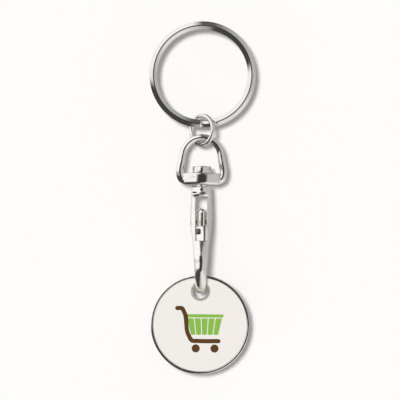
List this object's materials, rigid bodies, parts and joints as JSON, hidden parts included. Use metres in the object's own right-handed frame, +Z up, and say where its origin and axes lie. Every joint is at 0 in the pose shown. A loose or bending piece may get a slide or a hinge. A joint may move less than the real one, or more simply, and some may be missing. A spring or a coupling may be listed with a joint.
{
  "type": "coin holder keyring",
  "caption": "Keyring with a split ring, jump ring, swivel bail and sprung claw clasp that carries a coin-sized token with a white lacquered face.",
  "frame": {"origin": "top inside of the split ring's bore, where the keyring hangs on a hook or a finger", "axes": "+Z up along the hanging keyring, -Y out of the token's white front face, +X to the viewer's right"},
  "size_m": [0.025, 0.0115, 0.0827],
  "materials": {
    "ring_nickel": "polished nickel plate",
    "link_nickel": "polished nickel plate",
    "bail_nickel": "polished nickel plate",
    "stud_nickel": "polished nickel plate",
    "clasp_nickel": "polished nickel plate",
    "pin_steel": "drawn wire",
    "spring_steel": "drawn wire",
    "lever_nickel": "polished nickel plate",
    "token_nickel": "satin nickel plate",
    "white_lacquer": "satin lacquer"
  },
  "bodies": {
    "ring": {"split_ring": "ring_nickel"},
    "link": {"connector_link": "link_nickel"},
    "bail": {"swivel_bail": "bail_nickel"},
    "clasp": {"swivel_stud": "stud_nickel", "clasp_body": "clasp_nickel", "pivot_pin": "pin_steel", "gate_spring": "spring_steel"},
    "gate": {"gate_lever": "lever_nickel"},
    "token": {"token_disc": "token_nickel", "face_inlay": "white_lacquer"}
  },
  "joints": [
    {"name": "link_swing", "type": "hinge", "parent": "ring", "child": "link", "pos_m": [0, 0, -0.02215], "axis": [1, 0, 0], "range_deg": [-60, 60]},
    {"name": "bail_swing", "type": "hinge", "parent": "link", "child": "bail", "pos_m": [0, 0, -0.02974], "axis": [0, 1, 0], "range_deg": [-45, 45]},
    {"name": "clasp_swivel", "type": "hinge", "parent": "bail", "child": "clasp", "pos_m": [0, 0, -0.03686], "axis": [0, 0, 1], "continuous": true},
    {"name": "gate_press", "type": "hinge", "parent": "clasp", "child": "gate", "pos_m": [0, 0.0008, -0.0453], "axis": [-1, 0, 0], "range_deg": [0, 13.5], "stiffness_Nm_per_rad": 0.02, "springref_deg": -11.46, "deforming": ["gate_spring"]},
    {"name": "token_swing", "type": "hinge", "parent": "clasp", "child": "token", "pos_m": [0, 0.00025, -0.06091], "axis": [0, 1, 0], "range_deg": [-90, 90]}
  ]
}
